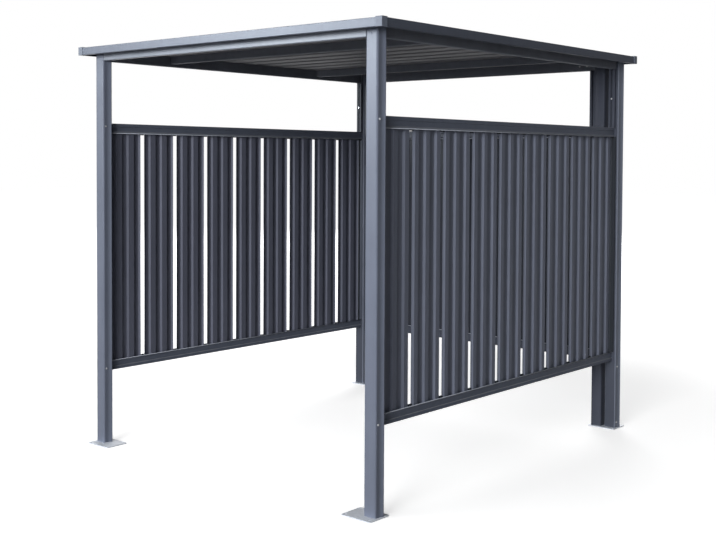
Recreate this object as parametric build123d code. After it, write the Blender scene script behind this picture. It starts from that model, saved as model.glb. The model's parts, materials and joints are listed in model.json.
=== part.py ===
from build123d import *
from math import atan2, tan
import os

# Open-fronted shelter of folded sheet steel: six posts on four base plates,
# three slatted walls and a flat ribbed roof with a fascia round it.
# +X runs to the right along the open front, +Y to the rear, +Z up. Millimetres.

# Overall sizes
post_outer_width = 1880.0  # over the outer side faces of the posts
post_outer_depth = 2100.0  # from the front posts' closed faces to the rear posts' mouths
frame_top = 2020.0  # level that the roof sheets lie on

# Base plates, all of one kind
plate_width = 160.0  # across the front
plate_depth = 130.0
plate_thickness = 5.0
plate_corner_radius = 12.0
plate_edge_chamfer = 0.8  # round the top edge
plate_side_margin = 10.0  # beyond the post's outer side face
plate_end_margin = 48.0  # before a front post's closed face and behind a rear post's mouth
anchor_hole_radius = 5.5
anchor_hole_inset = 16.0  # hole centre from the plate's edges

# Posts, folded to an open channel whose mouth flares out and turns back in a lip
post_width = 64.0
post_flat_depth = 22.0  # straight part of the flange, from the closed face
wall_post_flat_depth = 29.0  # the same on the wall posts
post_flare_depth = 28.0  # flared part of the flange, up to the mouth
post_flare_curve = 8.5  # from the flare's start to where its straight run would meet the flange
post_flare = 9.0  # how far the mouth stands out on each side
post_lip = 10.0
post_sheet = 2.0
post_corner_radius = 6.0  # inside the two corners of the closed face
post_bend_radius = 3.0
corner_post_gap = 5.0  # between a wall post and the rear post's flared mouth

# Walls
bottom_rail_underside = 372.0  # above the ground
upper_opening = 317.0  # clear height between the side walls and the roof beams
rail_height = 50.0
rail_sheet = 1.5
rail_band = 16.0  # height of the band along the closed edge
rail_step = 3.0  # how far that band stands out
rail_lip_height = 10.0
rail_lip = 5.0  # how far the open edge flares out
rail_bend_radius = 1.0
wall_setback = 24.0  # rail's outer face from the posts' outer face
slat_depth = 11.0
slat_sheet = 1.2
slat_bend_radius = 1.5
slat_top_clearance = 2.0
slat_side_clearance = 3.5
crest_count = 3
crest_width = 26.0
crest_pitch = 77.0
crest_run = 8.0  # width taken by each slope of a crest
side_slat_count = 9
side_slat_front_gap = 8.0  # from the front post's mouth
side_slat_rear_gap = 23.0  # from the rear post's closed face
rear_slat_count = 8
rear_slat_end_gap = 8.0  # from the wall posts' mouths

# Struts between the walls and the beams, lipped channels open to the front
strut_width = 38.0
side_strut_depth = 16.0  # on the side walls, against the rear posts
strut_slot = 8.0
strut_sheet = 1.5
strut_bend_radius = 1.5
strut_gap = 5.0  # on the rear wall, from the wall post's mouth

# Roof frame
beam_height = 54.0
beam_depth = 30.0
beam_setback = 15.0  # side and rear beams, from the posts' outer face
front_beam_setback = 1.5  # from the front posts' closed face
front_beam_clearance = 0.5  # before the front posts begin to flare
beam_sheet = 2.0
beam_corner_radius = 4.0
purlin_height = 40.0
purlin_depth = 30.0
purlin_spacing = 1160.0  # between the two purlins' middles

# Roof covering
roof_front_overhang = 55.0
roof_side_overhang = 66.0
roof_sheet = 1.0
roof_sheet_count = 3
roof_bend_radius = 2.0
ribs_per_sheet = 5
rib_height = 13.0
rib_top_width = 36.0
rib_run = 12.0  # width taken by each slope of a rib
fascia_height = 38.5
fascia_sheet = 1.5
fascia_flange = 34.0  # lies on the ribs
fascia_return = 14.0  # turned in underneath
fascia_rear_clearance = 1.0  # behind the wall posts' flared mouths
fascia_bend_radius = 1.5
cap_wall = 2.5
cap_leg = 32.0
cap_corner_radius = 2.0

quarter_turn = 90.0
half_turn = 2 * quarter_turn

# Places worked out from those sizes. The origin is under the middle of the whole.
side_face = post_outer_width / 2
roof_rear_overhang = post_flare + fascia_rear_clearance + fascia_return
front_reach = max(roof_front_overhang + cap_wall, plate_end_margin)
rear_reach = max(roof_rear_overhang + cap_wall, plate_end_margin)
front_face = (front_reach - rear_reach - post_outer_depth) / 2
rear_face = front_face + post_outer_depth
mid_depth = (front_face + rear_face) / 2
post_centre = side_face - post_width / 2
post_depth = post_flat_depth + post_flare_depth
flare_turn = atan2(post_flare, post_flare_depth - post_flare_curve)  # radians
flare_radius = post_flare_curve / tan(flare_turn / 2)
wall_post_face = side_face - post_width - post_flare - corner_post_gap
wall_post_mouth = wall_post_face - wall_post_flat_depth - post_flare_depth
rail_thickness = slat_depth + 2 * slat_side_clearance + 2 * rail_sheet  # over the legs
rail_width = rail_thickness + 2 * rail_step  # over the bands
wall_inset = wall_setback + rail_thickness / 2
beam_inset = beam_setback + beam_depth / 2
beam_underside = frame_top - beam_height
top_rail_top = beam_underside - upper_opening
rear_post_face = rear_face - post_depth
side_start = front_face + post_sheet  # side rails and beams reach from here to the rear posts
side_run = rear_post_face - side_start
side_mid = side_start + side_run / 2
rear_run = 2 * (wall_post_face - post_sheet)
slat_width = (crest_count - 1) * crest_pitch + crest_width + 2 * crest_run
roof_half_width = side_face + roof_side_overhang
roof_front = front_face - roof_front_overhang
roof_rear = rear_face + roof_rear_overhang
rib_top = frame_top + rib_height
fascia_top = rib_top + fascia_sheet
fascia_bottom = fascia_top - fascia_height


def nearest_corner(face, point):
    return min(face.vertices(), key=lambda corner: (Vector(corner) - point).length)


def folded_section(points, thickness, bend_radius, corner_radii=None):
    """Section of a sheet folded along the points, its thickness on the left of the run.

    Bends have one inner radius, but for those that corner_radii gives by their number.
    """
    radii = [bend_radius] * (len(points) - 2)
    for index, radius in (corner_radii or {}).items():
        radii[index] = radius
    line = [Vector(*point) for point in points]
    runs = [(end - start).normalized() for start, end in zip(line, line[1:])]
    sides = [Vector(-run.Y, run.X) for run in runs]
    offset = [line[0] + sides[0] * thickness]
    tight = []
    wide = []
    for index, corner in enumerate(line[1:-1]):
        before, after = sides[index], sides[index + 1]
        partner = corner + (before + after) * (thickness / (1 + before.dot(after)))
        offset.append(partner)
        turns_left = runs[index].cross(runs[index + 1]).Z > 0
        tight.append(partner if turns_left else corner)
        wide.append(corner if turns_left else partner)
    offset.append(line[-1] + sides[-1] * thickness)
    face = make_face(Polyline(*line, *reversed(offset), close=True)).face()
    for radius, inner, outer in zip(radii, tight, wide):
        face = face.fillet_2d(radius, [nearest_corner(face, inner)])
        face = face.fillet_2d(radius + thickness, [nearest_corner(face, outer)])
    return face


def tube(width, height, length):
    """Rectangular tube along X, centred on its length and depth, with its top at zero."""
    outer = RectangleRounded(width, height, beam_corner_radius)
    inner = RectangleRounded(
        width - 2 * beam_sheet, height - 2 * beam_sheet, beam_corner_radius - beam_sheet
    )
    bar = extrude(Plane.YZ * (outer - inner), amount=length)
    return Pos(-length / 2, 0, -height / 2) * bar


def base_plate():
    """Plate with its underside at zero, centred, with four anchor holes."""
    plate = extrude(RectangleRounded(plate_width, plate_depth, plate_corner_radius), amount=plate_thickness)
    plate = chamfer(plate.edges().group_by(Axis.Z)[-1], plate_edge_chamfer)
    hole = extrude(Circle(anchor_hole_radius), amount=plate_thickness)
    spacing_x = plate_width - 2 * anchor_hole_inset
    spacing_y = plate_depth - 2 * anchor_hole_inset
    return plate - [place * hole for place in GridLocations(spacing_x, spacing_y, 2, 2)]


def post(flat_depth):
    """Post standing on a plate, its closed face on the XZ plane and its mouth towards +Y."""
    half = post_width / 2
    mouth = half + post_flare
    turn = flat_depth + post_flare_curve
    depth = flat_depth + post_flare_depth
    points = [
        (-mouth + post_lip, depth),
        (-mouth, depth),
        (-half, turn),
        (-half, 0),
        (half, 0),
        (half, turn),
        (mouth, depth),
        (mouth - post_lip, depth),
    ]
    radii = {1: flare_radius, 2: post_corner_radius, 3: post_corner_radius, 4: flare_radius}
    section = folded_section(points, post_sheet, post_bend_radius, radii)
    return Pos(0, 0, plate_thickness) * extrude(section, amount=frame_top - plate_thickness)


def rail(length):
    """Rail along X, open underneath, with a proud band on top and flared lips. Its top is at zero."""
    leg = rail_thickness / 2
    band = rail_width / 2
    points = [
        (leg + rail_lip, -rail_height),
        (leg, rail_lip_height - rail_height),
        (leg, -rail_band - rail_step),
        (band, -rail_band),
        (band, 0),
        (-band, 0),
        (-band, -rail_band),
        (-leg, -rail_band - rail_step),
        (-leg, rail_lip_height - rail_height),
        (-leg - rail_lip, -rail_height),
    ]
    section = folded_section(points, rail_sheet, rail_bend_radius)
    return Pos(-length / 2, 0, 0) * extrude(Plane.YZ * section, amount=length)


def slat():
    """Slat with its crests towards +Y, standing in the bottom rail."""
    valley = -slat_depth / 2
    crest = slat_depth / 2 - slat_sheet
    points = []
    for index in range(crest_count):
        start = index * crest_pitch - slat_width / 2
        points.append((start, valley))
        points.append((start + crest_run, crest))
        points.append((start + crest_run + crest_width, crest))
        points.append((start + 2 * crest_run + crest_width, valley))
    section = folded_section(points, slat_sheet, slat_bend_radius)
    foot = bottom_rail_underside + rail_sheet
    head = top_rail_top - rail_sheet - slat_top_clearance
    return Pos(0, 0, foot) * extrude(section, amount=head - foot)


def strut(depth):
    """Lipped channel that stands on a wall's top rail, centred, its mouth towards -Y."""
    half = strut_width / 2
    slot = strut_slot / 2
    front = -depth / 2
    back = depth / 2
    points = [(slot, front), (half, front), (half, back), (-half, back), (-half, front), (-slot, front)]
    section = folded_section(points, strut_sheet, strut_bend_radius)
    return Pos(0, 0, top_rail_top) * extrude(section, amount=beam_underside - top_rail_top)


def slat_places(start, end, count):
    """Middles of the slats that fill a wall from start to end."""
    pitch = (end - start - slat_width) / (count - 1)
    return [start + slat_width / 2 + index * pitch for index in range(count)]


def roof_panel(depth, length):
    """Ribbed sheet with its ribs along X, from half a rib to half a rib, its valleys at zero."""
    pitch = depth / ribs_per_sheet
    crown = rib_height - roof_sheet
    half_top = rib_top_width / 2
    points = [(0, crown)]
    for index in range(ribs_per_sheet):
        start = index * pitch
        points.append((start + half_top, crown))
        points.append((start + half_top + rib_run, 0))
        points.append((start + pitch - half_top - rib_run, 0))
        points.append((start + pitch - half_top, crown))
    points.append((depth, crown))
    section = folded_section(points, roof_sheet, roof_bend_radius)
    return Pos(-length / 2, 0, 0) * extrude(Plane.YZ * section, amount=length)


def fascia(length):
    """Trim along Y that faces +X, with mitred ends, its underside at zero."""
    points = [
        (-fascia_return, 0),
        (0, 0),
        (0, fascia_height),
        (-fascia_flange, fascia_height),
    ]
    section = folded_section(points, fascia_sheet, fascia_bend_radius)
    bar = Pos(0, length / 2, 0) * extrude(Plane.XZ * section, amount=length)
    outline = Polyline(
        (0, -length / 2),
        (0, length / 2),
        (-fascia_flange, length / 2 - fascia_flange),
        (-fascia_flange, fascia_flange - length / 2),
        close=True,
    )
    return bar & extrude(make_face(outline), amount=fascia_height)


def corner_cap():
    """Cap over a fascia corner that points to +X and +Y, open underneath and behind."""
    size = cap_leg + cap_wall
    height = fascia_height + cap_wall
    low = (Align.MAX, Align.MAX, Align.MIN)
    shell = Pos(cap_wall, cap_wall, 0) * Box(size, size, height, align=low)
    upright = shell.edges().filter_by(Axis.Z).sort_by_distance((cap_wall, cap_wall, 0))[0]
    return fillet(upright, cap_corner_radius) - Box(cap_leg, cap_leg, fascia_height, align=low)


nodes = {}

# Front and rear corners: a plate and a post each, and a wall post at the rear
plate_x = side_face + plate_side_margin - plate_width / 2
plate_front = front_face - plate_end_margin + plate_depth / 2
plate_rear = rear_face + plate_end_margin - plate_depth / 2
for side, sign in (("left", -1), ("right", 1)):
    nodes[f"front_{side}_base_plate"] = Pos(sign * plate_x, plate_front, 0) * base_plate()
    nodes[f"rear_{side}_base_plate"] = Pos(sign * plate_x, plate_rear, 0) * base_plate()
    corner_post = post(post_flat_depth)
    nodes[f"front_{side}_post"] = Pos(sign * post_centre, front_face, 0) * corner_post
    nodes[f"rear_{side}_post"] = Pos(sign * post_centre, rear_post_face, 0) * corner_post
    wall_post = Rot(0, 0, sign * quarter_turn) * post(wall_post_flat_depth)
    nodes[f"rear_{side}_wall_post"] = Pos(sign * wall_post_face, rear_face - post_width / 2, 0) * wall_post

# Side walls between the front and rear posts, and the struts that carry the side beams on them
side_slat_start = front_face + post_depth + side_slat_front_gap
side_slat_end = rear_post_face - side_slat_rear_gap
for side, sign in (("left", -1), ("right", 1)):
    wall_x = sign * (side_face - wall_inset)
    side_rail = Rot(0, 0, quarter_turn) * rail(side_run)
    nodes[f"{side}_top_rail"] = Pos(wall_x, side_mid, top_rail_top) * side_rail
    upturned = Rot(0, half_turn, 0) * side_rail
    nodes[f"{side}_bottom_rail"] = Pos(wall_x, side_mid, bottom_rail_underside) * upturned
    side_slat = Rot(0, 0, -sign * quarter_turn) * slat()
    places = slat_places(side_slat_start, side_slat_end, side_slat_count)
    nodes[f"{side}_wall_slats"] = Compound([Pos(wall_x, place, 0) * side_slat for place in places])
    strut_y = rear_post_face - side_strut_depth / 2
    nodes[f"{side}_strut"] = Pos(wall_x, strut_y, 0) * strut(side_strut_depth)

# Rear wall between the wall posts, and the struts that carry the rear beam on it
wall_y = rear_face - wall_inset
nodes["rear_top_rail"] = Pos(0, wall_y, top_rail_top) * rail(rear_run)
nodes["rear_bottom_rail"] = Pos(0, wall_y, bottom_rail_underside) * Rot(half_turn, 0, 0) * rail(rear_run)
rear_slat_end = wall_post_mouth - rear_slat_end_gap
places = slat_places(-rear_slat_end, rear_slat_end, rear_slat_count)
nodes["rear_wall_slats"] = Compound([Pos(place, wall_y, 0) * slat() for place in places])
strut_x = wall_post_mouth - strut_gap - strut_width / 2
for side, sign in (("left", -1), ("right", 1)):
    nodes[f"rear_{side}_strut"] = Pos(sign * strut_x, wall_y, 0) * strut(rail_width)

# Roof frame: beams between the posts, purlins between the side beams
front_beam_depth = post_flat_depth - front_beam_setback - front_beam_clearance
front_beam_y = front_face + front_beam_setback + front_beam_depth / 2
front_beam_run = 2 * (side_face - post_width)
nodes["front_beam"] = Pos(0, front_beam_y, frame_top) * tube(front_beam_depth, beam_height, front_beam_run)
nodes["rear_beam"] = Pos(0, rear_face - beam_inset, frame_top) * tube(beam_depth, beam_height, rear_run)
for side, sign in (("left", -1), ("right", 1)):
    side_beam = Rot(0, 0, quarter_turn) * tube(beam_depth, beam_height, side_run)
    nodes[f"{side}_beam"] = Pos(sign * (side_face - beam_inset), side_mid, frame_top) * side_beam
purlin_run = 2 * (side_face - beam_setback - beam_depth)
for end, sign in (("front", -1), ("rear", 1)):
    purlin_y = mid_depth + sign * purlin_spacing / 2
    nodes[f"{end}_purlin"] = Pos(0, purlin_y, frame_top) * tube(purlin_depth, purlin_height, purlin_run)

# Roof covering: three sheets side by side, the fascia round them and its corner caps
sheet_edge = fascia_sheet + fascia_bend_radius  # the sheets end where the fascia's bends begin
cover_depth = (roof_rear - roof_front - 2 * sheet_edge) / roof_sheet_count
cover_length = 2 * (roof_half_width - sheet_edge)
for index, name in enumerate(("front", "middle", "rear")):
    cover_start = roof_front + sheet_edge + index * cover_depth
    nodes[f"{name}_roof_sheet"] = Pos(0, cover_start, frame_top) * roof_panel(cover_depth, cover_length)

roof_mid = (roof_front + roof_rear) / 2
side_fascia = fascia(roof_rear - roof_front)
end_fascia = fascia(2 * roof_half_width)
nodes["right_fascia"] = Pos(roof_half_width, roof_mid, fascia_bottom) * side_fascia
nodes["left_fascia"] = Pos(-roof_half_width, roof_mid, fascia_bottom) * Rot(0, 0, half_turn) * side_fascia
nodes["rear_fascia"] = Pos(0, roof_rear, fascia_bottom) * Rot(0, 0, quarter_turn) * end_fascia
nodes["front_fascia"] = Pos(0, roof_front, fascia_bottom) * Rot(0, 0, -quarter_turn) * end_fascia

corners = (
    ("rear_right", roof_half_width, roof_rear, 0),
    ("rear_left", -roof_half_width, roof_rear, quarter_turn),
    ("front_left", -roof_half_width, roof_front, half_turn),
    ("front_right", roof_half_width, roof_front, -quarter_turn),
)
for name, corner_x, corner_y, turn in corners:
    nodes[f"{name}_corner_cap"] = Pos(corner_x, corner_y, fascia_bottom) * Rot(0, 0, turn) * corner_cap()

os.makedirs("parts", exist_ok=True)
for name, shape in nodes.items():
    export_step(shape, f"parts/{name}.step")
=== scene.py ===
import json
import math

import bmesh
import bpy
from mathutils import Matrix, Vector


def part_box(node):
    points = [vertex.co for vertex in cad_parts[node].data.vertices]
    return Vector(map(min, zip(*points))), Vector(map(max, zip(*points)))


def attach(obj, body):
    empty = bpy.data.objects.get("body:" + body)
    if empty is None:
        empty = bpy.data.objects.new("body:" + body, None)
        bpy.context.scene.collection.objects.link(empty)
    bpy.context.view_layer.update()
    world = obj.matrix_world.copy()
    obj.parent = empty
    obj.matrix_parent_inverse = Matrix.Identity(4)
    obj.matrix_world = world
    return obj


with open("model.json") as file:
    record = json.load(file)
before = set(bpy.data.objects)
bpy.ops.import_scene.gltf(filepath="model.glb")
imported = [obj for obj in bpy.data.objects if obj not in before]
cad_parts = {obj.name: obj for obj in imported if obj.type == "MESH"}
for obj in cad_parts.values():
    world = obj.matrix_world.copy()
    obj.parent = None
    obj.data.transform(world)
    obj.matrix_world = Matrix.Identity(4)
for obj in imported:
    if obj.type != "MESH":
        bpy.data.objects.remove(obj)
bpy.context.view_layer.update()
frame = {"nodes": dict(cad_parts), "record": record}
scene = bpy.context.scene
scene.view_settings.view_transform = "Standard"
print("frame loaded,", len(frame["nodes"]), "nodes")


# camera, at the photograph's viewing angle
cameraView = {
    "place": (3.779, -4.465, 1.469),
    "heading": 0.7103,  # radians to the left of straight ahead
    "dip": 0.0322,
    "roll": 0.0047,
    "lens": 55.39,
    "sensor": 36.0,
    "shiftDown": 0.1047,  # the photograph's middle lies well below its horizon
    "farthest": 200.0,
}


def makeCamera(spec):
    data = bpy.data.cameras.new("camera")
    data.lens = spec["lens"]
    data.sensor_width = spec["sensor"]
    data.shift_y = -spec["shiftDown"]
    data.clip_end = spec["farthest"]
    camera = bpy.data.objects.new("camera", data)
    camera.location = spec["place"]
    camera.rotation_euler = (math.pi / 2 - spec["dip"], -spec["roll"], spec["heading"])
    scene.collection.objects.link(camera)
    scene.camera = camera


makeCamera(cameraView)
print("camera set")


# small helpers for node trees
def put(tree, value, socket):
    # a plain value is set on the socket, anything else is linked to it
    if isinstance(value, (int, float, tuple)):
        socket.default_value = value
    else:
        tree.links.new(value, socket)


def mathNode(tree, operation, *values):
    node = tree.nodes.new("ShaderNodeMath")
    node.operation = operation
    for index, value in enumerate(values):
        put(tree, value, node.inputs[index])
    return node.outputs[0]


def noiseNode(tree, vector, scale, detail=3.0, roughness=0.55):
    node = tree.nodes.new("ShaderNodeTexNoise")
    node.inputs["Scale"].default_value = scale
    node.inputs["Detail"].default_value = detail
    node.inputs["Roughness"].default_value = roughness
    tree.links.new(vector, node.inputs["Vector"])
    return node.outputs["Fac"]


def stretched(tree, vector, scale):
    node = tree.nodes.new("ShaderNodeMapping")
    node.inputs["Scale"].default_value = scale
    tree.links.new(vector, node.inputs["Vector"])
    return node.outputs["Vector"]


def mapRange(tree, value, low, high, toLow, toHigh):
    node = tree.nodes.new("ShaderNodeMapRange")
    node.interpolation_type = "SMOOTHSTEP"
    for socket, setting in zip(node.inputs, (value, low, high, toLow, toHigh)):
        put(tree, setting, socket)
    return node.outputs["Result"]


def mixColor(tree, factor, first, second, blend="MIX"):
    node = tree.nodes.new("ShaderNodeMix")
    node.data_type = "RGBA"
    node.blend_type = blend
    for name, value in (("Factor_Float", factor), ("A_Color", first), ("B_Color", second)):
        put(tree, value, next(item for item in node.inputs if item.identifier == name))
    return next(item for item in node.outputs if item.identifier == "Result_Color")


def greyColor(tree, value):
    node = tree.nodes.new("ShaderNodeCombineColor")
    for channel in range(3):
        tree.links.new(value, node.inputs[channel])
    return node.outputs[0]


def objectPlace(tree):
    return tree.nodes.new("ShaderNodeTexCoord").outputs["Object"]


def newGroup(name, spec):
    tree = bpy.data.node_groups.new(name, "ShaderNodeTree")
    for label, kind, value in spec["inputs"]:
        tree.interface.new_socket(label, in_out="INPUT", socket_type=kind).default_value = value
    for label, kind in spec["outputs"]:
        tree.interface.new_socket(label, in_out="OUTPUT", socket_type=kind)
    return tree, tree.nodes.new("NodeGroupInput"), tree.nodes.new("NodeGroupOutput")


# floor, backdrop light and lamps
studio = {
    "floorSize": 80.0,
    "floorColor": (0.30, 0.30, 0.30, 1.0),  # as it lights the shelter from below
    "floorSeen": (0.80, 0.80, 0.80, 1.0),  # as the camera sees it
    "liftNear": 0.60,  # the floor's own white for the camera, over which the shadow still shows
    "liftFar": 1.0,
    "liftStart": 2.0,
    "liftEnd": 5.5,
    "skyColor": (0.90, 0.95, 1.0, 1.0),
    "skyFill": 0.01,
    "aim": (0.0, 0.0, 1.0),  # what a lamp without its own aim looks at
    "lamps": (
        {"name": "frontLamp", "place": (4.3, -15.2, 4.5), "size": 7.0, "watts": 2200.0},
        {"name": "sideLamp", "place": (7.0, -12.5, 5.8), "size": 8.0, "watts": 300.0},
        {"name": "upperLamp", "place": (-2.5, -9.0, 11.5), "size": 9.0, "watts": 650.0},
        {"name": "backLamp", "place": (-8.0, 13.0, 6.0), "size": 9.0, "watts": 1500.0},
        {
            "name": "sheenLamp", "place": (-4.9, -6.9, 3.9), "aim": (0.0, -0.8, 1.6), "size": 3.2,
            "watts": 3300.0, "tint": (0.84, 0.92, 1.0), "glossOnly": True,
        },
    ),
}


def cameraSees(tree):
    # one where the camera, a mirror or clear glass looks straight at the surface
    path = tree.nodes.new("ShaderNodeLightPath")
    direct = mathNode(tree, "MAXIMUM", path.outputs["Is Camera Ray"], path.outputs["Is Glossy Ray"])
    return mathNode(tree, "MAXIMUM", direct, path.outputs["Is Transmission Ray"])


def makeSky(spec):
    world = bpy.data.worlds.new("studioSky")
    scene.world = world
    world.use_nodes = True
    tree = world.node_tree
    tree.nodes.clear()
    fill = tree.nodes.new("ShaderNodeBackground")
    fill.inputs["Color"].default_value = spec["skyColor"]
    fill.inputs["Strength"].default_value = spec["skyFill"]
    white = tree.nodes.new("ShaderNodeBackground")
    white.inputs["Color"].default_value = (1.0, 1.0, 1.0, 1.0)
    mix = tree.nodes.new("ShaderNodeMixShader")
    out = tree.nodes.new("ShaderNodeOutputWorld")
    tree.links.new(cameraSees(tree), mix.inputs["Fac"])
    tree.links.new(fill.outputs[0], mix.inputs[1])
    tree.links.new(white.outputs[0], mix.inputs[2])
    tree.links.new(mix.outputs[0], out.inputs["Surface"])


def makeFloor(spec):
    shape = bmesh.new()
    bmesh.ops.create_grid(shape, x_segments=1, y_segments=1, size=spec["floorSize"] / 2)
    mesh = bpy.data.meshes.new("studioFloor")
    shape.to_mesh(mesh)
    shape.free()
    floor = bpy.data.objects.new("studioFloor", mesh)
    scene.collection.objects.link(floor)
    material = bpy.data.materials.new("studioFloor")
    material.use_nodes = True
    tree = material.node_tree
    tree.nodes.clear()
    matte = tree.nodes.new("ShaderNodeBsdfDiffuse")
    seen = cameraSees(tree)
    tree.links.new(mixColor(tree, seen, spec["floorColor"], spec["floorSeen"]), matte.inputs["Color"])
    reach = tree.nodes.new("ShaderNodeVectorMath")
    reach.operation = "LENGTH"
    tree.links.new(objectPlace(tree), reach.inputs[0])
    lift = mapRange(
        tree, reach.outputs["Value"], spec["liftStart"], spec["liftEnd"], spec["liftNear"], spec["liftFar"]
    )
    glow = tree.nodes.new("ShaderNodeEmission")
    tree.links.new(mathNode(tree, "MULTIPLY", lift, seen), glow.inputs["Strength"])
    add = tree.nodes.new("ShaderNodeAddShader")
    out = tree.nodes.new("ShaderNodeOutputMaterial")
    tree.links.new(matte.outputs[0], add.inputs[0])
    tree.links.new(glow.outputs[0], add.inputs[1])
    tree.links.new(add.outputs[0], out.inputs["Surface"])
    mesh.materials.append(material)


def makeLamp(lamp, commonAim):
    data = bpy.data.lights.new(lamp["name"], "AREA")
    data.shape = "DISK"
    data.size = lamp["size"]
    data.energy = lamp["watts"]
    light = bpy.data.objects.new(lamp["name"], data)
    light.location = lamp["place"]
    aim = Vector(lamp.get("aim", commonAim)) - Vector(lamp["place"])
    light.rotation_euler = aim.to_track_quat("-Z", "Y").to_euler()
    light.visible_diffuse = not lamp.get("glossOnly", False)
    data.color = lamp.get("tint", (1.0, 1.0, 1.0))
    scene.collection.objects.link(light)


makeSky(studio)
makeFloor(studio)
for lampSpec in studio["lamps"]:
    makeLamp(lampSpec, studio["aim"])
print("studio set")


# powder coat: colour mottle, faint streaks, dust on top faces, orange-peel grain, and a second tone on one
# side; the rails use the dust mask as a painted top light; the roof's second tone is its reverse-side coat,
# while on the slats and rear posts it is painted shade
powderCoat = {
    "inputs": (
        ("Paint", "NodeSocketColor", (0.14, 0.157, 0.195, 1.0)),
        ("dustAndTopLight", "NodeSocketColor", (0.33, 0.34, 0.36, 1.0)),
        ("dustAndTopLightAmount", "NodeSocketFloat", 0.25),
        ("dustAndTopLightFrom", "NodeSocketFloat", 0.35),  # how far a face has to look up before dust lies on it, and on the rails the painted top light
        ("reverseCoatAndShade", "NodeSocketColor", (0.215, 0.215, 0.23, 1.0)),
        ("reverseCoatAndShadeSide", "NodeSocketVector", (0.0, 0.0, 0.0)),  # which way a face looks that takes the second tone
        ("reverseCoatAndShadeFrom", "NodeSocketFloat", 0.05),
        ("Mottle", "NodeSocketFloat", 0.22),
        ("Streaks", "NodeSocketFloat", 0.16),
        ("BaseRoughness", "NodeSocketFloat", 0.42),
    ),
    "outputs": (
        ("Color", "NodeSocketColor"),
        ("Roughness", "NodeSocketFloat"),
        ("Height", "NodeSocketFloat"),
    ),
    "mottleScale": 5.0,
    "mottleDetail": 5.0,
    "mottleRoughness": 0.6,
    "streakScale": (34.0, 34.0, 1.6),
    "peelScale": 620.0,
    "peelDetail": 2.0,
    "grainScale": 210.0,
    "patchShare": 0.6,  # of mottle and grain together, in the patches of dust and of the painted top light
    "swingShare": 0.5,  # of the mottle, in the roughness
    "dustAndTopLightRoughness": 0.6,  # added where dust, and on the rails the painted top light, lies thick
    "grainShare": 0.7,  # beside the orange peel
}


def makeCoatGroup(spec):
    tree, given, result = newGroup("powderCoat", spec)
    links = tree.links
    place = objectPlace(tree)
    normal = tree.nodes.new("ShaderNodeNewGeometry").outputs["Normal"]
    split = tree.nodes.new("ShaderNodeSeparateXYZ")
    links.new(normal, split.inputs[0])
    mottle = noiseNode(tree, place, spec["mottleScale"], spec["mottleDetail"], spec["mottleRoughness"])
    streak = noiseNode(tree, stretched(tree, place, spec["streakScale"]), 1.0)
    peel = noiseNode(tree, place, spec["peelScale"], spec["peelDetail"])
    grain = noiseNode(tree, place, spec["grainScale"])
    # brightness wavers a little round the paint's own colour
    swing = mathNode(tree, "MULTIPLY", mathNode(tree, "SUBTRACT", mottle, 0.5), given.outputs["Mottle"])
    run = mathNode(tree, "MULTIPLY", mathNode(tree, "SUBTRACT", streak, 0.5), given.outputs["Streaks"])
    tone = mathNode(tree, "ADD", mathNode(tree, "ADD", swing, run), 1.0)
    # a sheet's hidden side has a reverse-side coat of another tone; on the slats and the rear posts this
    # second tone is painted shade
    facing = tree.nodes.new("ShaderNodeVectorMath")
    facing.operation = "DOT_PRODUCT"
    links.new(normal, facing.inputs[0])
    links.new(given.outputs["reverseCoatAndShadeSide"], facing.inputs[1])
    reverseCoatAndShadeMask = mathNode(tree, "GREATER_THAN", facing.outputs["Value"], given.outputs["reverseCoatAndShadeFrom"])
    ground = mixColor(tree, reverseCoatAndShadeMask, given.outputs["Paint"], given.outputs["reverseCoatAndShade"])
    painted = mixColor(tree, 1.0, ground, greyColor(tree, tone), "MULTIPLY")
    # dust settles on faces that look up, in patches; on the rails this mask is set strong as a painted top
    # light
    rise = mathNode(tree, "SUBTRACT", split.outputs["Z"], given.outputs["dustAndTopLightFrom"])
    upward = mathNode(tree, "MAXIMUM", rise, 0.0)
    patch = mathNode(tree, "MULTIPLY", mathNode(tree, "ADD", mottle, grain), spec["patchShare"])
    upPatchMask = mathNode(tree, "MULTIPLY", upward, patch)
    dustAndTopLightMask = mathNode(tree, "MULTIPLY", upPatchMask, given.outputs["dustAndTopLightAmount"])
    links.new(mixColor(tree, dustAndTopLightMask, painted, given.outputs["dustAndTopLight"]), result.inputs["Color"])
    rough = mathNode(tree, "MULTIPLY_ADD", swing, spec["swingShare"], given.outputs["BaseRoughness"])
    dustAndTopLightRough = mathNode(tree, "MULTIPLY_ADD", dustAndTopLightMask, spec["dustAndTopLightRoughness"], rough)
    links.new(dustAndTopLightRough, result.inputs["Roughness"])
    links.new(mathNode(tree, "MULTIPLY_ADD", grain, spec["grainShare"], peel), result.inputs["Height"])
    return tree


# zinc: pale grey crystals, dull where they have weathered
zincCoat = {
    "inputs": (
        ("Pale", "NodeSocketColor", (0.66, 0.69, 0.75, 1.0)),
        ("Dull", "NodeSocketColor", (0.48, 0.51, 0.56, 1.0)),
        ("CrystalScale", "NodeSocketFloat", 90.0),
        ("BaseRoughness", "NodeSocketFloat", 0.45),
    ),
    "outputs": (
        ("Color", "NodeSocketColor"),
        ("Roughness", "NodeSocketFloat"),
        ("Height", "NodeSocketFloat"),
    ),
    "patchScale": 9.0,
    "patchDetail": 4.0,
    "patchRoughness": 0.6,
    "grainScale": 500.0,
    "grainDetail": 2.0,
    "crystalShare": 0.45,  # of the dullness, the rest comes in patches
    "patchShare": 0.3,  # of the patches, in the roughness
    "facetHeight": 0.25,  # beside the grain
}


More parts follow.
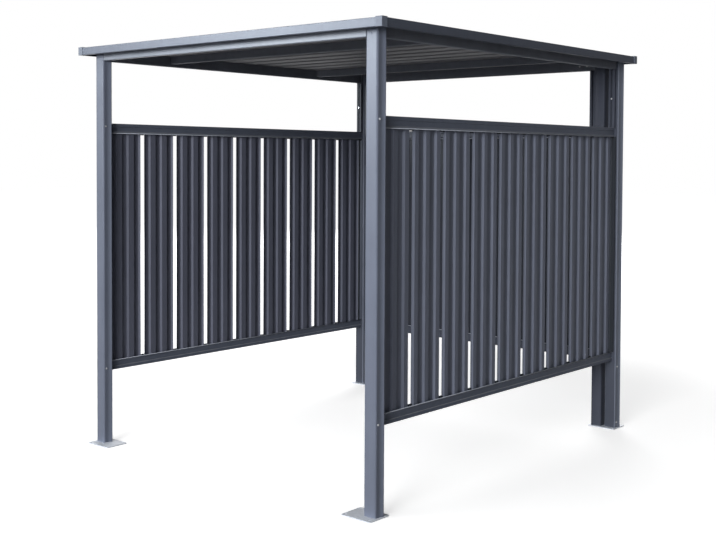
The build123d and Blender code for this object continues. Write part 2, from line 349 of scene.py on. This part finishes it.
def makeZincGroup(spec):
    tree, given, result = newGroup("zincCoat", spec)
    links = tree.links
    place = objectPlace(tree)
    crystal = tree.nodes.new("ShaderNodeTexVoronoi")
    links.new(place, crystal.inputs["Vector"])
    links.new(given.outputs["CrystalScale"], crystal.inputs["Scale"])
    facet = tree.nodes.new("ShaderNodeSeparateColor")
    links.new(crystal.outputs["Color"], facet.inputs[0])
    patch = noiseNode(tree, place, spec["patchScale"], spec["patchDetail"], spec["patchRoughness"])
    grain = noiseNode(tree, place, spec["grainScale"], spec["grainDetail"])
    share = spec["crystalShare"]
    dullness = mathNode(
        tree, "ADD",
        mathNode(tree, "MULTIPLY", facet.outputs[0], share),
        mathNode(tree, "MULTIPLY", patch, 1.0 - share),
    )
    zinc = mixColor(tree, dullness, given.outputs["Pale"], given.outputs["Dull"])
    links.new(zinc, result.inputs["Color"])
    swing = mathNode(tree, "SUBTRACT", patch, 0.5)
    rough = mathNode(tree, "MULTIPLY_ADD", swing, spec["patchShare"], given.outputs["BaseRoughness"])
    links.new(rough, result.inputs["Roughness"])
    height = mathNode(tree, "MULTIPLY_ADD", facet.outputs[0], spec["facetHeight"], grain)
    links.new(height, result.inputs["Height"])
    return tree


coatGroup = makeCoatGroup(powderCoat)
zincGroup = makeZincGroup(zincCoat)

# every finish: its group's values, and what is the same all over on the shader itself
# a finish that names no group is powder coat, one that names no bump has the common one
commonBump = 0.16
bumpDepth = 0.0006
finishes = {
    "framePaint": {
        "values": {"Paint": (0.138, 0.157, 0.208, 1.0), "BaseRoughness": 0.36},
        "shader": {"Specular IOR Level": 0.08},
    },
    # painted light: the bars under the roof are painted a little lighter and greyer than the frame, for the
    # dim light there, and are duller
    "roofFrameLitPaint": {
        "values": {"Paint": (0.150, 0.162, 0.192, 1.0), "BaseRoughness": 0.62},
        "shader": {"Specular IOR Level": 0.05},
    },
    # painted light: the front beam, shaded by the fascia's overhang, is painted lighter than the frame
    "frontBeamLitPaint": {
        "values": {"Paint": (0.200, 0.222, 0.270, 1.0), "BaseRoughness": 0.36},
        "shader": {"Specular IOR Level": 0.09},
    },
    # painted shade: the front fascia is painted darker than the frame, against the light and sheen it gets
    "frontFasciaShadedPaint": {
        "values": {"Paint": (0.124, 0.142, 0.186, 1.0), "BaseRoughness": 0.36},
        "shader": {"Specular IOR Level": 0.065},
    },
    # painted shade: the side fascias are painted darker than the frame, against the light on their sides
    "sideFasciaShadedPaint": {
        "values": {"Paint": (0.080, 0.090, 0.118, 1.0), "BaseRoughness": 0.48},
        "shader": {"Specular IOR Level": 0.05},
    },
    "shadedPaint": {
        "values": {"Paint": (0.056, 0.063, 0.085, 1.0), "BaseRoughness": 0.50},
        "shader": {"Specular IOR Level": 0.08},
    },
    # painted light and shade: the rear posts' faces that look forward are painted dark for the shade they
    # stand in, and their other faces lighter than the frame for the light on their sides
    "rearPostLitAndShadedPaint": {
        "values": {
            "Paint": (0.178, 0.200, 0.256, 1.0),
            "reverseCoatAndShade": (0.062, 0.070, 0.094, 1.0),
            "reverseCoatAndShadeSide": (0.0, -1.0, 0.0),
            "reverseCoatAndShadeFrom": 0.9,
            "BaseRoughness": 0.44,
        },
        "shader": {"Specular IOR Level": 0.07},
    },
    # painted highlight: the hems are painted much lighter than the frame
    "hemHighlightPaint": {
        "values": {"Paint": (0.330, 0.355, 0.410, 1.0), "BaseRoughness": 0.42},
        "shader": {"Specular IOR Level": 0.10},
        "bump": 0.10,
    },
    # near-black rubber of the slat spacers; on the end strips it is painted shade
    "rubberAndShadeDark": {
        "values": {"Paint": (0.020, 0.024, 0.031, 1.0), "BaseRoughness": 0.75, "Streaks": 0.05},
        "shader": {"Specular IOR Level": 0.20},
        "bump": 0.30,
    },
    # painted shade and light: the rails are painted darker than the frame, and faces that look up even a
    # little get a strong painted top light
    "railShadedTopLitPaint": {
        "values": {
            "Paint": (0.104, 0.118, 0.156, 1.0),
            "dustAndTopLightFrom": 0.12,
            "dustAndTopLightAmount": 1.2,
            "BaseRoughness": 0.45,
        },
        "shader": {"Specular IOR Level": 0.05},
    },
    "roofPaint": {
        "values": {
            "Paint": (0.100, 0.105, 0.120, 1.0),
            "reverseCoatAndShadeSide": (0.0, 0.0, -1.0),
            "dustAndTopLightAmount": 0.35,
            "BaseRoughness": 0.60,
        },
        "shader": {"Specular IOR Level": 0.06},
        "bump": 0.18,
    },
    "capPlastic": {
        "values": {"Paint": (0.150, 0.170, 0.215, 1.0), "BaseRoughness": 0.50, "Streaks": 0.05},
        "shader": {"Specular IOR Level": 0.08},
        "bump": 0.30,
    },
    "plateZinc": {
        "group": zincGroup,
        "values": {"CrystalScale": 70.0, "BaseRoughness": 0.50},
        "shader": {"Metallic": 0.1},
        "bump": 0.20,
    },
    "screwZinc": {
        "group": zincGroup,
        "values": {
            "Pale": (0.46, 0.47, 0.49, 1.0),
            "Dull": (0.30, 0.31, 0.33, 1.0),
            "CrystalScale": 420.0,
            "BaseRoughness": 0.32,
        },
        "shader": {"Metallic": 0.85},
        "bump": 0.12,
    },
}

# the slats' coat, whose inner faces take a darker tone on each wall, darkest on the rear wall: painted
# shade inside the shelter
slatCoat = {
    "paint": (0.140, 0.155, 0.203, 1.0),
    "streaks": 0.22,
    "walls": {
        "leftSlatShadedInsidePaint": {
            "shadedInside": (0.112, 0.120, 0.160, 1.0), "side": (1.0, 0.0, 0.0),
            "rough": 0.44, "specular": 0.07,
        },
        "rightSlatShadedInsidePaint": {
            "shadedInside": (0.088, 0.095, 0.128, 1.0), "side": (-1.0, 0.0, 0.0),
            "rough": 0.44, "specular": 0.07,
        },
        "rearSlatShadedInsidePaint": {
            "shadedInside": (0.032, 0.035, 0.046, 1.0), "side": (0.0, -1.0, 0.0),
            "rough": 0.50, "specular": 0.05,
        },
    },
}
for slatName, wall in slatCoat["walls"].items():
    finishes[slatName] = {
        "values": {
            "Paint": slatCoat["paint"],
            "reverseCoatAndShade": wall["shadedInside"],
            "reverseCoatAndShadeSide": wall["side"],
            "BaseRoughness": wall["rough"],
            "Streaks": slatCoat["streaks"],
        },
        "shader": {"Specular IOR Level": wall["specular"]},
    }


def makeFinish(name, spec):
    material = bpy.data.materials.new(name)
    material.use_nodes = True
    tree = material.node_tree
    shader = tree.nodes["Principled BSDF"]
    for label, value in spec["shader"].items():
        shader.inputs[label].default_value = value
    coat = tree.nodes.new("ShaderNodeGroup")
    coat.node_tree = spec.get("group", coatGroup)
    for label, value in spec["values"].items():
        coat.inputs[label].default_value = value
    bump = tree.nodes.new("ShaderNodeBump")
    bump.inputs["Strength"].default_value = spec.get("bump", commonBump)
    bump.inputs["Distance"].default_value = bumpDepth
    tree.links.new(coat.outputs["Color"], shader.inputs["Base Color"])
    tree.links.new(coat.outputs["Roughness"], shader.inputs["Roughness"])
    tree.links.new(coat.outputs["Height"], bump.inputs["Height"])
    tree.links.new(bump.outputs["Normal"], shader.inputs["Normal"])
    return material


materials = {name: makeFinish(name, spec) for name, spec in finishes.items()}
finishOfSlot = {
    "painted_steel": "framePaint",
    "slat_steel": "rightSlatShadedInsidePaint",
    "roof_steel": "roofPaint",
    "plate_steel": "plateZinc",
    "cap_plastic": "capPlastic",
    "screw_steel": "screwZinc",
}
# some pieces of a slot differ, most of them by painted light and shade: bars under the roof are duller and
# painted a little lighter, the front beam painted lighter, the front and side fascias and the rear wall
# painted darker, the rails painted darker with a painted top light, and the rear posts and the slats' inner
# faces painted with shade
finishOfNode = {
    "front_beam": "frontBeamLitPaint",
    "front_fascia": "frontFasciaShadedPaint",
    "left_fascia": "sideFasciaShadedPaint",
    "right_fascia": "sideFasciaShadedPaint",
    "left_beam": "roofFrameLitPaint",
    "right_beam": "roofFrameLitPaint",
    "rear_beam": "roofFrameLitPaint",
    "front_purlin": "roofFrameLitPaint",
    "rear_purlin": "roofFrameLitPaint",
    "left_top_rail": "railShadedTopLitPaint",
    "left_bottom_rail": "railShadedTopLitPaint",
    "right_top_rail": "railShadedTopLitPaint",
    "right_bottom_rail": "railShadedTopLitPaint",
    "rear_top_rail": "shadedPaint",
    "rear_bottom_rail": "shadedPaint",
    "rear_left_wall_post": "shadedPaint",
    "rear_right_wall_post": "shadedPaint",
    "rear_left_strut": "shadedPaint",
    "rear_right_strut": "shadedPaint",
    "left_strut": "shadedPaint",
    "right_strut": "shadedPaint",
    "rear_left_post": "rearPostLitAndShadedPaint",
    "rear_right_post": "rearPostLitAndShadedPaint",
    "left_wall_slats": "leftSlatShadedInsidePaint",
    "rear_wall_slats": "rearSlatShadedInsidePaint",
}
for row in frame["record"]["subparts"]:
    node = frame["nodes"][row["node"]]
    finish = finishOfNode.get(row["node"], finishOfSlot[row["material_slot"]])
    node.data.materials.clear()
    node.data.materials.append(materials[finish])
print("finishes on", len(frame["nodes"]), "nodes")


# small pieces: one of a kind is modelled, then copied to every place
nearly = 0.000001  # points closer than this are the same


def addPiece(name, shape, slot, smooth=False, finish=None):
    mesh = bpy.data.meshes.new(name)
    shape.to_mesh(mesh)
    shape.free()
    if smooth:
        mesh.polygons.foreach_set("use_smooth", [True] * len(mesh.polygons))
    mesh.materials.append(materials[finish or finishOfSlot[slot]])
    piece = bpy.data.objects.new(name, mesh)
    scene.collection.objects.link(piece)
    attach(piece, "root")


def standingOn(place, normal):
    # turns +Z to the face's normal and moves to the place on that face
    return Matrix.Translation(place) @ Vector(normal).to_track_quat("Z", "Y").to_matrix().to_4x4()


def bevelled(shape, edges, width, segments):
    bmesh.ops.bevel(
        shape, geom=edges, offset=width, affect="EDGES", segments=segments, profile=0.5, material=-1
    )


hexScrew = {
    "flangeRadius": 0.0050,
    "flangeHeight": 0.0008,
    "headRadius": 0.0038,  # to the corners of the hexagon
    "headHeight": 0.0022,
    "edge": 0.0004,
    "edgeSteps": 2,
    "flangeSides": 20,
}


def hexHead(spec):
    shape = bmesh.new()
    flange = bmesh.ops.create_cone(
        shape, cap_ends=True, segments=spec["flangeSides"], radius1=spec["flangeRadius"],
        radius2=spec["flangeRadius"] - spec["flangeHeight"] / 2, depth=spec["flangeHeight"],
    )
    bmesh.ops.translate(shape, verts=flange["verts"], vec=(0, 0, spec["flangeHeight"] / 2))
    head = bmesh.ops.create_cone(
        shape, cap_ends=True, segments=6, radius1=spec["headRadius"], radius2=spec["headRadius"],
        depth=spec["headHeight"],
    )
    lift = spec["flangeHeight"] + spec["headHeight"] / 2
    bmesh.ops.translate(shape, verts=head["verts"], vec=(0, 0, lift))
    top = spec["flangeHeight"] + spec["headHeight"]
    rim = [edge for edge in shape.edges if all(abs(v.co.z - top) < nearly for v in edge.verts)]
    bevelled(shape, rim, spec["edge"], spec["edgeSteps"])
    return shape


domeRivet = {"radius": 0.0045, "height": 0.0016, "sides": 14, "rings": 3}


def rivetHead(spec):
    # a quarter arc spun round the rivet's axis
    shape = bmesh.new()
    arc = []
    for ring in range(spec["rings"] + 1):
        turn = math.pi / 2 * ring / spec["rings"]
        arc.append(shape.verts.new((spec["radius"] * math.cos(turn), 0, spec["height"] * math.sin(turn))))
    edges = [shape.edges.new(pair) for pair in zip(arc, arc[1:])]
    bmesh.ops.spin(
        shape, geom=arc + edges, cent=(0, 0, 0), axis=(0, 0, 1), angle=2 * math.pi,
        steps=spec["sides"], use_merge=True,
    )
    bmesh.ops.remove_doubles(shape, verts=shape.verts, dist=nearly)
    bmesh.ops.recalc_face_normals(shape, faces=shape.faces)
    return shape


def copies(head, places):
    master = bpy.data.meshes.new("master")
    head.to_mesh(master)
    head.free()
    shape = bmesh.new()
    for place in places:
        first = len(shape.verts)
        shape.from_mesh(master)
        shape.verts.ensure_lookup_table()
        bmesh.ops.transform(shape, matrix=place, verts=shape.verts[first:])
    bpy.data.meshes.remove(master)
    return shape


# where the frame's screws sit, measured from the faces of the posts and rails
frameScrews = {
    "postWidth": 0.064,
    "postSheet": 0.002,
    "flangeInset": 0.015,  # from a front post's closed face
    "railInset": 0.016,  # from the rail's closed edge
    "beamInset": 0.030,  # side beam's middle from the post's outer face
    "beamScrewLevel": 1.980,
    "strutBoltLevel": 1.806,
    "rearLevels": (0.340, 0.033),
    "rearInset": 0.019,  # from a rear post's closed face
    "beamBolts": (0.697, 0.742),  # along the rear beam, beside each strut
    "beamBoltLevel": 1.992,
}


def frameScrewPlaces(spec):
    places = []
    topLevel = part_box("right_top_rail")[1][2] - spec["railInset"]
    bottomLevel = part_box("right_bottom_rail")[0][2] + spec["railInset"]
    half = spec["postWidth"] / 2
    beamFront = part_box("rear_beam")[0][1]
    for side, sign in (("left", -1), ("right", 1)):
        low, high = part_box(f"front_{side}_post")
        middle, front = (low[0] + high[0]) / 2, low[1]
        for level in (topLevel, bottomLevel):
            for face in (-1, 1):
                place = (middle + face * half, front + spec["flangeInset"], level)
                places.append(standingOn(place, (face, 0, 0)))
        outer = middle + sign * half
        beamX = outer - sign * spec["beamInset"]
        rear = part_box(f"rear_{side}_post")[0][1]
        places.append(standingOn((beamX, rear + spec["postSheet"], spec["beamScrewLevel"]), (0, 1, 0)))
        strutLow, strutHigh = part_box(f"{side}_strut")
        bolt = ((strutLow[0] + strutHigh[0]) / 2, strutLow[1], spec["strutBoltLevel"])  # across the slot
        places.append(standingOn(bolt, (0, -1, 0)))
        for level in spec["rearLevels"]:
            for face in (-1, 1):
                place = (middle + face * half, rear + spec["rearInset"], level)
                places.append(standingOn(place, (face, 0, 0)))
        for across in spec["beamBolts"]:
            places.append(standingOn((sign * across, beamFront, spec["beamBoltLevel"]), (0, -1, 0)))
    return places


addPiece("frame_screws", copies(hexHead(hexScrew), frameScrewPlaces(frameScrews)), "screw_steel")
print("frame screws set")


# every rail's open edges end in a rolled hem, whose much lighter paint is a painted highlight along the
# edges
railHem = {"radius": 0.0019, "sides": 8, "openEdge": 0.050}


def hemRun(shape, start, end, spec):
    # a ring at the start, drawn out to the end
    along = Vector(end) - Vector(start)
    ring = bmesh.ops.create_circle(shape, cap_ends=True, segments=spec["sides"], radius=spec["radius"])
    bmesh.ops.transform(shape, matrix=standingOn(start, along), verts=ring["verts"])
    face = ring["verts"][0].link_faces[0]
    drawn = bmesh.ops.extrude_face_region(shape, geom=[face], use_keep_orig=True)
    moved = [item for item in drawn["geom"] if isinstance(item, bmesh.types.BMVert)]
    bmesh.ops.translate(shape, verts=moved, vec=along)


def railHems(spec):
    shape = bmesh.new()
    for wall in ("left", "right", "rear"):
        for edge in ("top", "bottom"):
            low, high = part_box(f"{wall}_{edge}_rail")
            level = high[2] - spec["openEdge"] if edge == "top" else low[2] + spec["openEdge"]
            if wall == "rear":
                for across in (low[1], high[1]):
                    hemRun(shape, (low[0], across, level), (high[0], across, level), spec)
            else:
                for across in (low[0], high[0]):
                    hemRun(shape, (across, low[1], level), (across, high[1], level), spec)
    bmesh.ops.recalc_face_normals(shape, faces=shape.faces)
    return shape


addPiece("rail_hems", railHems(railHem), "painted_steel", True, "hemHighlightPaint")
print("rail hems set")


# spacers keep the slats apart where they enter the rails
slatSpacer = {
    "slats": 9,
    "slatWidth": 0.196,
    "depth": 0.006,
    "topHeight": 0.034,
    "topDrop": 0.007,  # below the top rail's open edge
    "bottomHeight": 0.024,
    "bottomRise": 0.005,  # above the bottom rail's open edge
    "edge": 0.0012,
    "edgeSteps": 2,
}


def block(size, spec):
    shape = bmesh.new()
    bmesh.ops.create_cube(shape, size=1.0)
    bmesh.ops.scale(shape, vec=size, verts=shape.verts)
    bevelled(shape, shape.edges[:], spec["edge"], spec["edgeSteps"])
    return shape


def spacerPlaces(spec, level):
    places = []
    for wall in ("left", "right"):
        low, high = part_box(f"{wall}_wall_slats")
        pitch = (high[1] - low[1] - spec["slatWidth"]) / (spec["slats"] - 1)
        first = low[1] + spec["slatWidth"] + (pitch - spec["slatWidth"]) / 2
        for index in range(spec["slats"] - 1):
            places.append(Matrix.Translation(((low[0] + high[0]) / 2, first + index * pitch, level)))
    return places


def addSpacers(spec):
    low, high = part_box("right_wall_slats")
    gap = (high[1] - low[1] - spec["slats"] * spec["slatWidth"]) / (spec["slats"] - 1)
    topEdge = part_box("right_top_rail")[1][2] - railHem["openEdge"]
    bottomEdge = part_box("right_bottom_rail")[0][2] + railHem["openEdge"]
    rows = {
        "upper_spacers": (spec["topHeight"], topEdge - spec["topDrop"] + spec["topHeight"] / 2),
        "lower_spacers": (spec["bottomHeight"], bottomEdge + spec["bottomRise"] - spec["bottomHeight"] / 2),
    }
    for name, (height, level) in rows.items():
        shape = block((spec["depth"], gap, height), spec)
        addPiece(name, copies(shape, spacerPlaces(spec, level)), "cap_plastic", False, "rubberAndShadeDark")


addSpacers(slatSpacer)
print("spacers set")


# a dark strip stands at each side wall's rear end against the post: painted shade where the wall shades the
# post
endShadeStrip = {"width": 0.022, "depth": 0.010, "setOut": 0.012, "edge": 0.002, "edgeSteps": 2}


def addShadeStrips(spec):
    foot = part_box("right_bottom_rail")[0][2] + railHem["openEdge"]
    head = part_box("right_top_rail")[1][2] - railHem["openEdge"]
    places = []
    for side, sign in (("left", -1), ("right", 1)):
        low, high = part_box(f"{side}_wall_slats")
        across = (low[0] + high[0]) / 2 + sign * spec["setOut"]
        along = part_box(f"rear_{side}_post")[0][1] - spec["depth"] / 2
        places.append(Matrix.Translation((across, along, (foot + head) / 2)))
    shape = block((spec["width"], spec["depth"], head - foot), spec)
    addPiece("end_shade_strips", copies(shape, places), "cap_plastic", False, "rubberAndShadeDark")


addShadeStrips(endShadeStrip)
print("end seals set")


# roof screws stand in the valleys, over the side beams and the purlins
roofScrews = {
    "valleys": 15,
    "sheet": 0.001,
    "purlinRow": 5,
    "purlinInset": 0.20,
}


def roofScrewPlaces(spec):
    places = []
    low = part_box("front_roof_sheet")[0]
    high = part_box("rear_roof_sheet")[1]
    pitch = (high[1] - low[1]) / spec["valleys"]
    valleys = [low[1] + (index + 0.5) * pitch for index in range(spec["valleys"])]
    level = low[2] + spec["sheet"]
    for side in ("left", "right"):
        beamLow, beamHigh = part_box(f"{side}_beam")
        for valley in valleys:
            places.append(standingOn(((beamLow[0] + beamHigh[0]) / 2, valley, level), (0, 0, 1)))
    for end in ("front", "rear"):
        barLow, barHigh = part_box(f"{end}_purlin")
        reach = barHigh[0] - spec["purlinInset"]
        for index in range(spec["purlinRow"]):
            across = -reach + 2 * reach * index / (spec["purlinRow"] - 1)
            places.append(standingOn((across, (barLow[1] + barHigh[1]) / 2, level), (0, 0, 1)))
    return places


addPiece("roof_screws", copies(hexHead(hexScrew), roofScrewPlaces(roofScrews)), "screw_steel")
print("roof screws set")


# rivets hold the fascia's top flange to the ribs and the caps to the fascia
fasciaRivets = {"spacing": 0.42, "inset": 0.018, "postLevel": 1.980}


def fasciaRivetPlaces(spec):
    places = []
    frontBox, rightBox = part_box("front_fascia"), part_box("right_fascia")
    level = frontBox[1][2]
    frontY, rearY = rightBox[0][1], rightBox[1][1]
    outerX = rightBox[1][0]
    runX = round(2 * outerX / spec["spacing"])
    for index in range(1, runX):
        across = -outerX + 2 * outerX * index / runX
        for place in (frontY + spec["inset"], rearY - spec["inset"]):
            places.append(standingOn((across, place, level), (0, 0, 1)))
    runY = round((rearY - frontY) / spec["spacing"])
    for index in range(1, runY):
        along = frontY + (rearY - frontY) * index / runY
        for sign in (-1, 1):
            places.append(standingOn((sign * (outerX - spec["inset"]), along, level), (0, 0, 1)))
    # the front posts are riveted to the side beams behind them
    for side in ("left", "right"):
        low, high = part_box(f"front_{side}_post")
        places.append(standingOn(((low[0] + high[0]) / 2, low[1], spec["postLevel"]), (0, -1, 0)))
    for end in ("front", "rear"):
        for side, sign in (("left", -1), ("right", 1)):
            low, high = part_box(f"{end}_{side}_corner_cap")
            middle = ((low[0] + high[0]) / 2, (low[1] + high[1]) / 2)
            places.append(standingOn((middle[0], middle[1], high[2] - domeRivet["height"]), (0, 0, 1)))
    return places


rivets = copies(rivetHead(domeRivet), fasciaRivetPlaces(fasciaRivets))
addPiece("fascia_rivets", rivets, "painted_steel", True)
print("rivets set")
